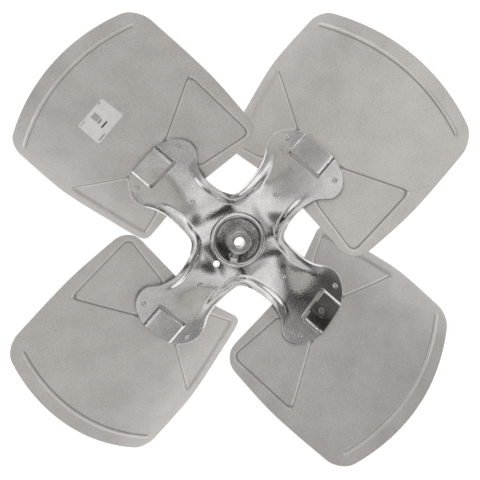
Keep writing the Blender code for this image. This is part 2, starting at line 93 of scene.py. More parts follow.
def makeCamera():
    # stands back from the hub along a leaning line, and aims a little to the side of it
    back = pointing(cameraView["leanTowards"], 90.0 - cameraView["lean"])
    right = pointing(cameraView["pictureUp"]).cross(back).normalized()
    up = back.cross(right)
    hub = Vector((0.0, 0.0, floorLift))
    place = hub + back * cameraView["distance"]
    away = (place - hub - right * cameraView["aside"][0] - up * cameraView["aside"][1]).normalized()
    right = up.cross(away).normalized()
    data = bpy.data.cameras.new("fanCamera")
    data.lens = cameraView["lens"]
    data.sensor_width = cameraView["sensorWidth"]
    data.clip_end = cameraView["farthest"]
    camera = bpy.data.objects.new("fanCamera", data)
    scene.collection.objects.link(camera)
    camera.location = place / 1000
    camera.rotation_mode = "QUATERNION"
    camera.rotation_quaternion = Matrix((right, away.cross(right), away)).transposed().to_quaternion()
    scene.camera = camera


makeCamera()
print("camera ready")


# Number helpers

def smoothStep(x):
    # 0 below 0, 1 above 1 and 3x² - 2x³ between
    x = np.clip(x, 0.0, 1.0)
    return x * x * (3.0 - 2.0 * x)


def easeFrom(x, start, full):
    # the same step from 0 at its start to 1 where it is full
    return smoothStep((x - start) / (full - start))


def fullTurn(count):
    # evenly spaced angles round a circle
    return np.linspace(0.0, 2 * np.pi, count, endpoint=False)


def softMin(a, b, reach):
    # the smaller of two values, with the corner between them rounded over a reach
    near = np.clip(1.0 - np.abs(a - b) / reach, 0.0, 1.0)
    return np.minimum(a, b) - near * near * reach / 4.0


def curveAt(stations, where):
    # cubic curve through numbered stations, whose slope at each is half the step between its neighbours
    knots = np.asarray(stations, float)
    last = len(knots) - 1
    low = np.clip(np.floor(where).astype(int), 0, last - 1)
    part = (where - low)[..., None]
    a, b, c, d = (knots[np.clip(low + step, 0, last)] for step in (-1, 0, 1, 2))
    return b + 0.5 * part * (c - a + part * (2 * a - 5 * b + 4 * c - d + part * (3 * b - 3 * c + d - a)))


def lineAt(stations, where):
    # (place, value) stations joined by that curve and read at any place
    dense = curveAt(stations, np.linspace(0, len(stations) - 1, 30 * len(stations)))
    return np.interp(where, dense[:, 0], dense[:, 1])


def stepsAt(stations, where):
    # (place, value) stations joined by straight lines
    knots = np.asarray(stations, float)
    return np.interp(where, knots[:, 0], knots[:, 1])


def distanceTo(line, u, v):
    # least distance in the plan from each point to a chain of short straight steps
    best = np.full(np.shape(u), 1e9)
    for start, end in zip(line[:-1], line[1:]):
        along = end - start
        part = ((u - start[0]) * along[0] + (v - start[1]) * along[1]) / (along @ along)
        part = np.clip(part, 0.0, 1.0)
        best = np.minimum(best, np.hypot(u - start[0] - part * along[0], v - start[1] - part * along[1]))
    return best


def roundedLine(corners, radius, steps=4, closed=False):
    # each corner gives way to a parabola that begins and ends a radius away from it
    corners = [np.asarray(corner, float) for corner in corners]
    around = [corners[-1], *corners, corners[0]] if closed else corners
    points = [] if closed else [corners[0]]
    for before, corner, after in zip(around, around[1:], around[2:]):
        sides = [other - corner for other in (before, after)]
        ends = [corner + side * min(0.48, radius / max(np.linalg.norm(side), 1e-6)) for side in sides]
        for t in np.linspace(0.0, 1.0, steps + 1):
            points.append((1 - t) ** 2 * ends[0] + 2 * t * (1 - t) * corner + t * t * ends[1])
    return np.array(points if closed else [*points, corners[-1]])


# Mesh helpers

def gridFaces(rows, columns, start=0, wrapRows=False, wrapColumns=False):
    # four-cornered faces between neighbouring points of a grid
    r, c = np.arange(rows if wrapRows else rows - 1), np.arange(columns if wrapColumns else columns - 1)
    r, c = np.meshgrid(r, c, indexing="ij")
    r1, c1 = (r + 1) % rows, (c + 1) % columns
    corners = np.stack([r * columns + c, r * columns + c1, r1 * columns + c1, r1 * columns + c], -1)
    return corners.reshape(-1, 4) + start


def makeMesh(name, points, faces, material, closed=True, kept=()):
    # fills a mesh from arrays, keeps named values at its points for the finish to read,
    # merges what meets at seams and poles, and turns closed shells outward
    mesh = bpy.data.meshes.new(name)
    mesh.vertices.add(len(points))
    mesh.vertices.foreach_set("co", np.ascontiguousarray(points, np.float32).ravel())
    mesh.loops.add(faces.size)
    mesh.loops.foreach_set("vertex_index", np.ascontiguousarray(faces, np.int32).ravel())
    mesh.polygons.add(len(faces))
    mesh.polygons.foreach_set("loop_start", np.arange(0, faces.size, 4, dtype=np.int32))
    mesh.update(calc_edges=True)
    for layerName, values in kept:
        layer = mesh.attributes.new(layerName, "FLOAT", "POINT")
        layer.data.foreach_set("value", np.ascontiguousarray(values, np.float32).ravel())
    work = bmesh.new()
    work.from_mesh(mesh)
    bmesh.ops.remove_doubles(work, verts=work.verts, dist=0.000002)
    if closed:
        bmesh.ops.recalc_face_normals(work, faces=work.faces)
    work.to_mesh(mesh)
    work.free()
    thing = bpy.data.objects.new(name, mesh)
    scene.collection.objects.link(thing)
    mesh.materials.append(material)
    return thing


def finishShape(thing, sharpAngle):
    # bakes the modifiers into the mesh, then shades it smooth but for its sharp edges
    bpy.context.view_layer.update()
    graph = bpy.context.evaluated_depsgraph_get()
    mesh = bpy.data.meshes.new_from_object(thing.evaluated_get(graph))
    thing.modifiers.clear()
    thing.data = mesh
    mesh.shade_smooth()
    mesh.set_sharp_from_angle(angle=math.radians(sharpAngle))


def addThickness(thing, thickness, edgeRadius):
    # walls grow to both sides of the sheet's middle, and their edges are rounded
    solid = thing.modifiers.new("sheet", "SOLIDIFY")
    solid.thickness = thickness / 1000
    solid.offset = 0.0
    solid.use_even_offset = True
    solid.use_quality_normals = True
    bevel = thing.modifiers.new("edges", "BEVEL")
    bevel.width = edgeRadius / 1000
    bevel.segments = 2
    bevel.limit_method = "ANGLE"
    bevel.angle_limit = math.radians(50)
    bevel.use_clamp_overlap = False


def cutWith(thing, tools):
    # takes closed shapes away from a piece
    for tool in tools:
        boolean = thing.modifiers.new(tool.name, "BOOLEAN")
        boolean.operation = "DIFFERENCE"
        boolean.solver = "EXACT"
        boolean.object = tool


def revolve(name, profile, segments, centre, direction, material, closedProfile=False):
    # carries (radius, height) points round an axis
    turn = np.array(Vector(direction).to_track_quat("Z", "Y").to_matrix())
    angles = fullTurn(segments)
    radius, height = profile[:, 0][:, None], profile[:, 1][:, None]
    local = np.stack([radius * np.cos(angles), radius * np.sin(angles), height + 0 * angles], -1)
    points = (local @ turn.T) / 1000 + np.array(centre)
    rows = len(profile)
    faces = gridFaces(rows, segments, wrapRows=closedProfile, wrapColumns=True)
    return makeMesh(name, points.reshape(-1, 3), faces, material)


def standFor(piece, node):
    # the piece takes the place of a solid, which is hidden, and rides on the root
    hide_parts(node)
    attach(piece, "root")


def turnedTo(angle, u, v, w):
    # an arm frame's lengths along the axes of the model
    turn = math.radians(angle)
    return u * math.cos(turn) + v * math.sin(turn), u * math.sin(turn) - v * math.cos(turn), w


def placeOnFan(u, v, w, angle):
    # an arm frame's points in the frame of the model, in metres
    return np.stack(np.broadcast_arrays(*turnedTo(angle, u, v, w + floorLift)), -1) / 1000


# The dished surface that blades and spider arms share
seat = {
    "height": -16.8,
    "radius": 178.0,
    "pitch": 0.558,
    "camber": -0.00217,
    "camberShift": 0.0000071,
    "twist": -0.00074,
    "coneSlope": -0.038,
    "coneCurve": -0.00032,
}


def seatHeight(u, v):
    # a plane pitched across the arm, plus camber in v, twist along u and a slight cone
    reach = u - seat["radius"]
    dish = seat["pitch"] * v + seat["camber"] * v ** 2 + seat["camberShift"] * v ** 3
    cone = seat["coneSlope"] * reach + seat["coneCurve"] * reach ** 2
    return seat["height"] + dish + seat["twist"] * reach * v + cone


def seatNormal(u, v):
    # unit normal of that surface, from its two slopes
    reach = u - seat["radius"]
    slopeU = seat["twist"] * v + seat["coneSlope"] + 2 * seat["coneCurve"] * reach
    slopeV = seat["pitch"] + 2 * seat["camber"] * v + 3 * seat["camberShift"] * v ** 2
    slopeV = slopeV + seat["twist"] * reach
    length = np.sqrt(1.0 + slopeU ** 2 + slopeV ** 2)
    return -slopeU / length, -slopeV / length, 1.0 / length


def liftOver(u, v, lift):
    # height that lies a lift away from the surface, measured square to it
    return seatHeight(u, v) + lift / seatNormal(u, v)[2]


armLift = (fan["bladeSheet"] + fan["spiderSheet"]) / 2 + fan["clearance"]
spiderTop = armLift + fan["spiderSheet"] / 2


# Finishes. Patterns read Object coordinates, which are metres in the frame of the model.

patterns = {
    "wearFrom": 0.51, "wearGain": 14.0, "wearScale": 260.0,
    "foldLines": (("Dark At", "Dark", 1.3, "SUBTRACT"), ("Light At", "Light", 1.2, "ADD")),
    "ringNoise": (480.0, 3.0, 0.75), "ringMottle": (0.38, 0.64, 1.5, 0.2),
    "farOff": 60.0,   # a distance from a fold at which neither of its lines is drawn
}


def newGroup(name, inputs, outputs):
    # a shader node group: its inputs are numbers with their values, or vectors without one
    group = bpy.data.node_groups.new(name, "ShaderNodeTree")
    for socketName, value in inputs:
        kind = "NodeSocketVector" if value is None else "NodeSocketFloat"
        socket = group.interface.new_socket(socketName, in_out="INPUT", socket_type=kind)
        if value is not None:
            socket.default_value = value
    for socketName in outputs:
        group.interface.new_socket(socketName, in_out="OUTPUT", socket_type="NodeSocketFloat")
    return group, group.nodes.new("NodeGroupInput").outputs, group.nodes.new("NodeGroupOutput").inputs


def feed(tree, node, inputs):
    # gives a node's inputs their values, or links them to other nodes' outputs
    for key, value in inputs.items():
        if isinstance(value, bpy.types.NodeSocket):
            tree.links.new(value, node.inputs[key])
        else:
            node.inputs[key].default_value = value


def addNode(tree, kind, inputs=None, **settings):
    node = tree.nodes.new("ShaderNode" + kind)
    for key, value in settings.items():
        setattr(node, key, value)
    feed(tree, node, inputs or {})
    return node


def mathNode(tree, operation, first, second=0.5, clamp=False):
    # one step of arithmetic
    node = addNode(tree, "Math", {0: first, 1: second}, operation=operation, use_clamp=clamp)
    return node.outputs[0]


def noiseAt(tree, place, scale, detail=2.0, roughness=0.5):
    # soft noise from 0 to 1; the scale is about how many waves it has in a metre
    settings = {"Vector": place, "Scale": scale, "Detail": detail, "Roughness": roughness}
    return addNode(tree, "TexNoise", settings).outputs[0]


def ranged(tree, value, fromLow, fromHigh, toLow, toHigh, smooth=False):
    # a value carried from one range to another and kept inside it, by a straight or an eased step
    settings = {"Value": value, "From Min": fromLow, "From Max": fromHigh, "To Min": toLow, "To Max": toHigh}
    kind = "SMOOTHSTEP" if smooth else "LINEAR"
    return addNode(tree, "MapRange", settings, interpolation_type=kind).outputs[0]


def shaded(tree, colour, shade):
    # a colour times a shade
    return addNode(tree, "VectorMath", {0: colour, 1: shade}, operation="MULTIPLY").outputs[0]


def mixed(tree, share, first, second):
    # from the first colour to the second by a mask
    node = addNode(tree, "Mix", {"Factor": share, "A": first, "B": second}, data_type="RGBA")
    return node.outputs["Result"]


def makeGrainGroup():
    # even grain: a fine noise and a coarser one added, stretched to a contrast about one half
    group, given, out = newGroup(
        "sheetGrain", [("Vector", None), ("Grain Size", 1.0), ("Patch Size", 20.0), ("Contrast", 2.0)],
        ["Grain", "Patches"])
    for size, detail, roughness, contrast, name in (
            ("Grain Size", 2.0, 0.6, given["Contrast"], "Grain"), ("Patch Size", 3.0, 0.55, 3.0, "Patches")):
        scale = mathNode(group, "DIVIDE", 1000.0, given[size])
        noise = noiseAt(group, given["Vector"], scale, detail, roughness)
        spread = mathNode(group, "MULTIPLY", mathNode(group, "SUBTRACT", noise, 0.5), contrast)
        group.links.new(mathNode(group, "ADD", spread, 0.5, clamp=True), out[name])
    return group


def makeWearGroup():
    # rubbed places: where the surface juts out more than its surroundings, broken up by a noise
    group, given, out = newGroup("edgeWear", [("Vector", None), ("Amount", 0.5)], ["Mask"])
    pointiness = addNode(group, "NewGeometry").outputs["Pointiness"]
    jut = mathNode(group, "SUBTRACT", pointiness, patterns["wearFrom"])
    jut = mathNode(group, "MULTIPLY", jut, patterns["wearGain"])
    broken = mathNode(group, "MULTIPLY", jut, noiseAt(group, given["Vector"], patterns["wearScale"]))
    group.links.new(mathNode(group, "MULTIPLY", broken, given["Amount"], clamp=True), out["Mask"])
    return group


def makeFoldGroup():
    # painted shade: a dark line in the inner corner of a pressed fold; painted highlight: a light one along
    # its outer corner
    group, given, out = newGroup(
        "paintedFoldLines", [("Distance", 0.0), ("Dark At", 0.4), ("Light At", -1.3), ("Dark", 0.35),
                      ("Light", 0.2)], ["Shade"])
    shade = 1.0
    for place, amount, half, sign in patterns["foldLines"]:
        away = mathNode(group, "ABSOLUTE", mathNode(group, "SUBTRACT", given["Distance"], given[place]))
        line = ranged(group, away, 0.0, half, 1.0, 0.0, smooth=True)
        shade = mathNode(group, sign, shade, mathNode(group, "MULTIPLY", line, given[amount]))
    group.links.new(shade, out["Shade"])
    return group


def makeRingGroup():
    # painted shade where the tone is below 1 and painted light where it is above, in a mottled ring round the
    # fan axis between two radii in millimetres: 1 outside it, about its tone inside
    group, given, out = newGroup(
        "paintedRingTone", [("Vector", None), ("Inner", 13.0), ("Outer", 27.0), ("Tone", 0.5)], ["Shade"])
    flat = shaded(group, given["Vector"], (1000.0, 1000.0, 0.0))
    radius = addNode(group, "VectorMath", {0: flat}, operation="LENGTH").outputs["Value"]
    rise = mathNode(group, "SUBTRACT", radius, given["Inner"], clamp=True)
    fall = mathNode(group, "SUBTRACT", given["Outer"], radius, clamp=True)
    mottle = noiseAt(group, given["Vector"], *patterns["ringNoise"])
    mottle = ranged(group, mottle, *patterns["ringMottle"])
    change = mathNode(group, "MULTIPLY", mathNode(group, "SUBTRACT", given["Tone"], 1.0), mottle)
    change = mathNode(group, "MULTIPLY", change, mathNode(group, "MULTIPLY", rise, fall))
    group.links.new(mathNode(group, "ADD", change, 1.0), out["Shade"])
    return group


grainGroup = makeGrainGroup()
wearGroup = makeWearGroup()
foldGroup = makeFoldGroup()
ringGroup = makeRingGroup()


def newFinish(name):
    # a material, its nodes, its shader and the coordinates that its patterns read
    material = bpy.data.materials.new(name)
    material.use_nodes = True
    tree = material.node_tree
    place = addNode(tree, "TexCoord").outputs["Object"]
    return material, tree, tree.nodes["Principled BSDF"], place


def metalFinish(name, look):
    # plated or mill metal: base colour, roughness and a fine bump all vary with the shared grain
    material, tree, shader, place = newFinish(name)
    grain = addNode(tree, "Group",
                    {"Vector": place, "Grain Size": look["grainSize"], "Patch Size": look["patchSize"],
                     "Contrast": look["contrast"]}, node_tree=grainGroup).outputs
    wear = addNode(tree, "Group", {"Vector": place, "Amount": look["wear"]}, node_tree=wearGroup)
    colour = mixed(tree, grain["Patches"], (*look["dark"], 1.0), (*look["light"], 1.0))
    speck = ranged(tree, grain["Grain"], 0.0, 1.0, 1.0 - look["speckle"], 1.0 + look["speckle"])
    colour = mixed(tree, wear.outputs["Mask"], shaded(tree, colour, speck), (*look["rubbed"], 1.0))
    # painted shade and painted highlight along the fold lines whose distances the mesh keeps
    for line, darkAt, lightAt, dark, light in look.get("folds", ()):
        distance = addNode(tree, "Attribute", attribute_name=line).outputs["Fac"]
        given = {"Distance": distance, "Dark At": darkAt, "Light At": lightAt, "Dark": dark, "Light": light}
        shade = addNode(tree, "Group", given, node_tree=foldGroup)
        colour = shaded(tree, colour, shade.outputs[0])
    # painted shade: the colour is darkened by the underside factor on faces that look downward
    if "underside" in look:
        normal = addNode(tree, "NewGeometry").outputs["True Normal"]
        upward = addNode(tree, "SeparateXYZ", {0: normal}).outputs["Z"]
        colour = shaded(tree, colour, ranged(tree, upward, -0.3, 0.1, look["underside"], 1.0))
    # painted shade and painted light in rings round the fan axis
    for inner, outer, tone in look.get("rings", ()):
        given = {"Vector": place, "Inner": inner, "Outer": outer, "Tone": tone}
        shade = addNode(tree, "Group", given, node_tree=ringGroup)
        colour = shaded(tree, colour, shade.outputs[0])
    bump = {}   # broad waves first, then pebbles on top of them
    for kind, detail in (("wave", 1.0), ("pebble", 2.0)):
        given = {"Height": noiseAt(tree, place, 1000.0 / look[kind + "Size"], detail), "Strength": 1.0,
                 "Distance": look[kind + "Depth"] / 1000, **bump}
        bump = {"Normal": addNode(tree, "Bump", given).outputs[0]}
    blend = mathNode(tree, "MULTIPLY", grain["Grain"], grain["Patches"])
    feed(tree, shader, {"Base Color": colour, "Roughness": ranged(tree, blend, 0.0, 0.7, *look["roughness"]),
                        "Metallic": look["metallic"], **bump})
    return material


bladeLook = {
    "dark": (0.625, 0.598, 0.578), "light": (0.70, 0.672, 0.652), "rubbed": (0.78, 0.76, 0.74),
    "grainSize": 1.6, "patchSize": 34.0, "contrast": 3.0, "speckle": 0.10, "wear": 0.35,
    "roughness": (0.46, 0.54), "metallic": 0.6, "underside": 0.8,
    "waveSize": 60.0, "waveDepth": 0.35, "pebbleSize": 1.5, "pebbleDepth": 0.06,
    "folds": (("panelLine", 0.4, -1.6, 0.55, 0.2), ("beadLine", 2.0, -1.2, 0.52, 0.25)),
}
spiderLook = {
    "dark": (0.63, 0.628, 0.615), "light": (0.74, 0.738, 0.722), "rubbed": (0.85, 0.85, 0.84),
    "grainSize": 2.2, "patchSize": 18.0, "contrast": 2.4, "speckle": 0.10, "wear": 0.3,
    "roughness": (0.07, 0.15), "metallic": 1.0,
    "waveSize": 26.0, "waveDepth": 0.05, "pebbleSize": 1.9, "pebbleDepth": 0.085,
    "folds": (("padLine", 0.0, -2.1, 0.78, 0.3),),
}
paintedDishShade = (12.6, 27.2, 0.62)   # inner radius, outer radius and tone of the painted shade in the dished floor round the barrel
paintedCrownShade = (31.3, 34.3, 0.62)   # the same for the painted shade line at the outer foot of the crown
paintedBoreLight = (5.0, 6.9, 1.8)       # the same for the painted light that brightens the bore
rivetLook = dict(spiderLook, dark=(0.5, 0.5, 0.48), light=(0.66, 0.66, 0.64), grainSize=0.9, patchSize=6.0,
                 folds=(), roughness=(0.14, 0.24), waveSize=6.0, waveDepth=0.02, pebbleSize=0.8,
                 pebbleDepth=0.01)
hubLook = dict(rivetLook, dark=(0.4, 0.4, 0.39), light=(0.56, 0.56, 0.55), roughness=(0.24, 0.36))
clipLook = dict(rivetLook, dark=(0.07, 0.066, 0.062), light=(0.13, 0.125, 0.12), roughness=(0.3, 0.45),
                metallic=0.85)
clipRivetLook = dict(clipLook, dark=(0.2, 0.19, 0.18), light=(0.34, 0.33, 0.31))

bladeMetal = metalFinish("bladeMetal", bladeLook)
spiderMetal = metalFinish("spiderMetal", dict(spiderLook, rings=(paintedDishShade, paintedCrownShade)))
rivetMetal = metalFinish("rivetMetal", rivetLook)
hubMetal = metalFinish("hubMetal", dict(hubLook, rings=(paintedBoreLight,)))
clipMetal = metalFinish("clipMetal", clipLook)
clipRivetMetal = metalFinish("clipRivetMetal", clipRivetLook)
print("finishes ready")

# Spider
spider = {
    "webHeight": -12.62, "webRadius": 55.0,
    "webRings": (   # radii from and to, and how many
        (11.0, 18.5, 5), (20.5, 24.5, 3), (25.2, 33.0, 20), (34.0, 39.0, 5), (40.0, 55.0, 16)),
    "dishDepth": 2.0, "dishDrop": 0.25, "dishMiddle": 14.0, "dishWall": (25.4, 28.8),
    "crownRadius": 29.6, "crownHalfWidth": 3.4, "crownHeight": 1.7,
    "lead": ((38.9, 38.9), (43.4, 35.4), (50.5, 32.8), (59, 31.3), (67, 30.5), (75, 30.4), (83, 31.2),
             (90, 33.3), (98, 37), (104.5, 43.2), (111, 49), (120, 51.3), (129, 49.3), (136.5, 43.8),
             (142, 36.5), (146.5, 28)),
    "trail": ((38.9, -38.9), (43.4, -36.1), (51, -34.8), (60, -34), (68, -33.8), (76, -34), (84, -34.8),
              (92, -36.6), (99, -39), (106, -42.4), (113, -44.8), (121, -45.6), (129, -43.2), (136, -38.6),
              (142, -32), (146.8, -23)),
    "middle": (55, 60, 64.5, 69.5, 75, 80.5, 86, 92, 98.5, 105, 111, 117, 121, 130.5, 140, 149.5),
    "twistStart": 39.56, "twistSkew": -0.082, "twistBend": (0.008, 0.003), "twistReach": 71.0,
    "foldShare": 0.3,   # how much of its height the arm has at its fold line
    "innerPitch": 0.758, "innerPitchFrom": 31.7, "innerPitchReach": 50.0,
    "troughDepth": 1.23, "troughWidth": 11.9,
    "seamTurn": -4.4, "seamWidth": 24.0,
    "leadLip": {"height": 4.78, "crest": 4.7, "foot": 11.5, "edge": 0.98, "rise": 8.3, "fade": 89.4},
    "trailLip": {"height": 5.03, "crest": 2.4, "foot": 14.9, "edge": 0.15, "rise": 9.5, "fade": 95.0},
    "webLipFoot": 12.75, "lipFadeWidth": 34.5, "lipFrom": 36.0, "webLipWidth": 12.0,
    "padHeight": (1.2, 3.3), "padHalf": 20.0,
    "padTrail": (-20.7, -19.0), "padLead": (18.8, 21.8), "padInner": (117.2, 121.2),
    "foldLine": {"from": 117.0, "inside": 1.2, "scale": 0.65},   # the painted shade line, with a painted highlight beside it, along a pad's leading fold
    "slotU": (117.7, 121.5), "slotV": (-21.0, 22.0), "slotPoints": 40,
    "slotSteps": ((-12.0, 0.0), (0.85, 0.0), (1.35, 0.5), (12.0, 0.5)),   # height, and how much wider there
    "indexHole": (38.3, 0.7, 4.0),
    "edgeSteps": (0, 0.7, 1.5, 2.3, 3.1, 4, 4.9, 5.8, 6.7, 7.6, 8.5, 9.4, 10.3, 11.3, 12.4, 13.6),
    "middleColumns": (49, 51, 47, 50),   # the first count that the cut leaves whole is used
    "rowStep": 1.05, "leastHalf": 6.0, "edgeRadius": 0.45,
    "arcsUntil": 2.0, "straightFrom": 4.0, "bluntFrom": 12.0, "bluntAt": 15.0,   # numbers of "middle"
}


def windowEdges():
    # both window edges of an arm as chains of short steps
    count = len(spider["lead"]) - 4
    return [curveAt(spider[side], np.linspace(0, count, 4 * count + 1)) for side in ("lead", "trail")]


def lipLift(u, v, radius):
    # rolled lips: from the window edge each rises to a crest, then falls by a smooth step to its foot
    height = 0.0 * u
    middle = 1.0 - smoothStep((radius - spider["webRadius"]) / spider["webLipWidth"])
    for edge, side, other in zip(windowEdges(), ("leadLip", "trailLip"), ("trailLip", "leadLip")):
        lip = {key: value + ((value + spider[other][key]) / 2 - value) * middle
               for key, value in spider[side].items() if key in ("height", "crest", "edge", "rise")}
        foot = spider[side]["foot"] + (spider["webLipFoot"] - spider[side]["foot"]) * middle
        inset = distanceTo(edge, u, v)
        outside = 1.0 - (1.0 - lip["edge"]) * (1.0 - inset / lip["crest"]) ** 2
        inside = smoothStep((foot - inset) / np.minimum(lip["rise"], foot - lip["crest"]))
        fade = 1.0 - smoothStep((u - spider[side]["fade"]) / spider["lipFadeWidth"] + 0.5)
        height = np.maximum(height, lip["height"] * np.where(inset < lip["crest"], outside, inside) * fade)
    return height


def armSurface(u, v):
    # level web, plus a smooth step up to the pitched arm with the distance past a slanting, bowed fold line,
    # less a bell-shaped trough along that line
    arm, middle = liftOver(u, v, armLift), liftOver(u, 0.0 * v, armLift)
    inner = 1.0 - smoothStep((u - spider["innerPitchFrom"]) / spider["innerPitchReach"])
    arm = arm + (arm - middle) * (spider["innerPitch"] - 1.0) * inner
    bend = np.where(v > 0, *spider["twistBend"])
    past = u - spider["twistStart"] - spider["twistSkew"] * v - bend * v ** 2
    share = smoothStep(past / spider["twistReach"] + spider["foldShare"])
    trough = spider["troughDepth"] * np.exp(-(past / spider["troughWidth"]) ** 2)
    return spider["webHeight"] + (arm - spider["webHeight"]) * share - trough


def padLift(v):
    # the pad stands up less at its trailing side than at its leading side
    low, high = spider["padHeight"]
    return low + (high - low) * np.clip((v + spider["padHalf"]) / (2 * spider["padHalf"]), 0.0, 1.0)


def spiderHeight(u, v):
    # arms that blend into each other round the hub, with the dished floor, crown ring, lips and pad added
    radius = np.hypot(u, v)
    swing = np.degrees(np.arctan2(v, u))
    turned = swing - spider["seamTurn"]
    after = smoothStep((turned - 45.0) / spider["seamWidth"] + 0.5)
    before = smoothStep((-turned - 45.0) / spider["seamWidth"] + 0.5)
    height = armSurface(u, v) * (1.0 - after - before)
    height = height + armSurface(v, -u) * after + armSurface(-v, u) * before
    crown = np.clip(1.0 - ((radius - spider["crownRadius"]) / spider["crownHalfWidth"]) ** 2, 0.0, 1.0)
    height = height + spider["crownHeight"] * crown
    (wallStart, wallEnd), middle = spider["dishWall"], spider["dishMiddle"]
    slope = np.clip((radius - middle) / (wallStart - middle), 0.0, 1.0)
    dish = spider["dishDepth"] + spider["dishDrop"] * slope
    height = height - dish * (1.0 - easeFrom(radius, wallStart, wallEnd))
    height = height + np.where(radius > spider["lipFrom"], lipLift(u, v, radius), 0.0)
    pad = easeFrom(u, *spider["padInner"]) * easeFrom(v, *spider["padTrail"])
    pad = pad * easeFrom(v, *reversed(spider["padLead"]))
    return height + padLift(v) / seatNormal(u, v)[2] * pad


def spiderGrid(middleColumns):
    # rings of the web, closest at the dish wall and the crown, then rows of the arm that change from arcs to
    # flat curves between both window edges; each row keeps fine steps beside those edges
    steps = np.array(spider["edgeSteps"], float)
    inner = np.linspace(0.0, 1.0, middleColumns + 2)[1:-1]
    half = spider["webRadius"] * math.pi / 4
    middle = -half + steps[-1] + inner * 2 * (half - steps[-1])
    place = np.concatenate([steps - half, middle, half - steps[::-1]])
    swing = place / half * math.pi / 4
    rings = np.concatenate([np.linspace(*run) for run in spider["webRings"]])
    webU, webV = rings[:, None] * np.cos(swing), rings[:, None] * np.sin(swing)
    middleU = np.arange(spider["webRadius"] + spider["rowStep"], spider["middle"][-1], spider["rowStep"])
    stations = range(len(spider["middle"]))
    station = np.interp(np.append(middleU, spider["middle"][-1]), spider["middle"], stations)
    lead, trail = curveAt(spider["lead"], station), curveAt(spider["trail"], station)
    leadV, trailV = lead[:, 1][:, None], trail[:, 1][:, None]
    room = np.minimum(1.0, (leadV - trailV) / 2 / (steps[-1] + spider["leastHalf"]))
    straight = np.concatenate([
        trailV + steps * room,
        trailV + steps[-1] * room + inner * (leadV - trailV - 2 * steps[-1] * room),
        leadV - steps[::-1] * room], axis=1)
    arc = np.sin(swing) / math.sin(math.pi / 4)
    curved = arc * np.where(arc > 0, leadV, -trailV)
    armV = curved + (straight - curved) * smoothStep(station / spider["straightFrom"])[:, None]
    endU = np.where(armV > 0, lead[:, 0][:, None], trail[:, 0][:, None])
    endV = np.where(armV > 0, leadV, trailV)
    middle = np.interp(station, stations, spider["middle"])[:, None]
    power = 2.0 + 2.0 * easeFrom(station, spider["bluntFrom"], spider["bluntAt"])[:, None]
    armU = middle + (endU - middle) * np.abs(armV / endV) ** power
    ring, ringEnd = (np.sqrt(np.maximum(middle ** 2 - across ** 2, 1.0)) for across in (armV, endV))
    ring = middle + (ring - middle) * (endU - middle) / (ringEnd - middle)
    armU = ring + (armU - ring) * smoothStep(station / spider["arcsUntil"])[:, None]
    return np.vstack([webU, armU]), np.vstack([webV, armV])


def slotTool(angle, name):
    # slot outline carried upward, a little wider at the top face so that the slot's edge is eased
    middle = sum(spider["slotU"]) / 2
    radius = (spider["slotU"][1] - spider["slotU"][0]) / 2
    turns = fullTurn(spider["slotPoints"])
    flat = np.where(np.sin(turns) >= 0, spider["slotV"][1] - radius, spider["slotV"][0] + radius)
    points = []
    for offset, wider in spider["slotSteps"]:
        u = middle + (radius + wider) * np.cos(turns)
        v = flat + (radius + wider) * np.sin(turns)
        points.append(placeOnFan(u, v, spiderHeight(u, v) + offset, angle))
    centre = [ring.mean(axis=0, keepdims=True) + 0 * ring for ring in (points[0], points[-1])]
    points = np.stack([centre[0], *points, centre[1]])
    return makeMesh(name, points.reshape(-1, 3), gridFaces(*points.shape[:2], wrapColumns=True), spiderMetal)


def roundTool(name, centre, direction, radius, length):
    # plain round cutter, half its length to each side of a point
    profile = np.array([(0.0, -length / 2), (radius, -length / 2), (radius, length / 2), (0.0, length / 2)])
    return revolve(name, profile, 48, centre, direction, spiderMetal)


def pressSpider(middleColumns):
    # the same quarter round each arm, thickened and cut; says too whether the cut left the sheet whole
    u, v = spiderGrid(middleColumns)
    w = spiderHeight(u, v)
    points, faces = [], []
    for number, angle in enumerate(fan["armAngles"]):
        points.append(placeOnFan(u, v, w, angle).reshape(-1, 3))
        faces.append(gridFaces(*u.shape, start=number * u.size))
    # distance to the pad's leading fold, which the finish turns into painted shade and a painted highlight
    fold = spider["foldLine"]
    padLine = (v - spider["padLead"][1] + fold["inside"]) * fold["scale"]
    padLine = np.where(u > fold["from"], padLine, -patterns["farOff"])
    piece = makeMesh("spider_pressing", np.vstack(points), np.vstack(faces), spiderMetal, closed=False,
                     kept=[("padLine", np.tile(padLine.ravel(), 4))])
    addThickness(piece, fan["spiderSheet"], spider["edgeRadius"])
    tools = [slotTool(angle, f"slotTool{number}") for number, angle in enumerate(fan["armAngles"])]
    holeU, holeV, holeRadius = spider["indexHole"]
    centre = placeOnFan(holeU, holeV, spider["webHeight"], fan["armAngles"][3])
    tools.append(roundTool("indexTool", centre, (0, 0, 1), holeRadius, 14.0))
    cutWith(piece, tools)
    finishShape(piece, 38)
    for tool in tools:
        bpy.data.objects.remove(tool)
    return piece, len(piece.data.vertices) > 4 * u.size


def makeSpider():
    # an exact cut can lose the sheet where points fall together, and then the next column count is tried
    for middleColumns in spider["middleColumns"]:
        piece, whole = pressSpider(middleColumns)
        if whole:
            break
        bpy.data.meshes.remove(piece.data)
    standFor(piece, "spider")


makeSpider()
print("spider ready")

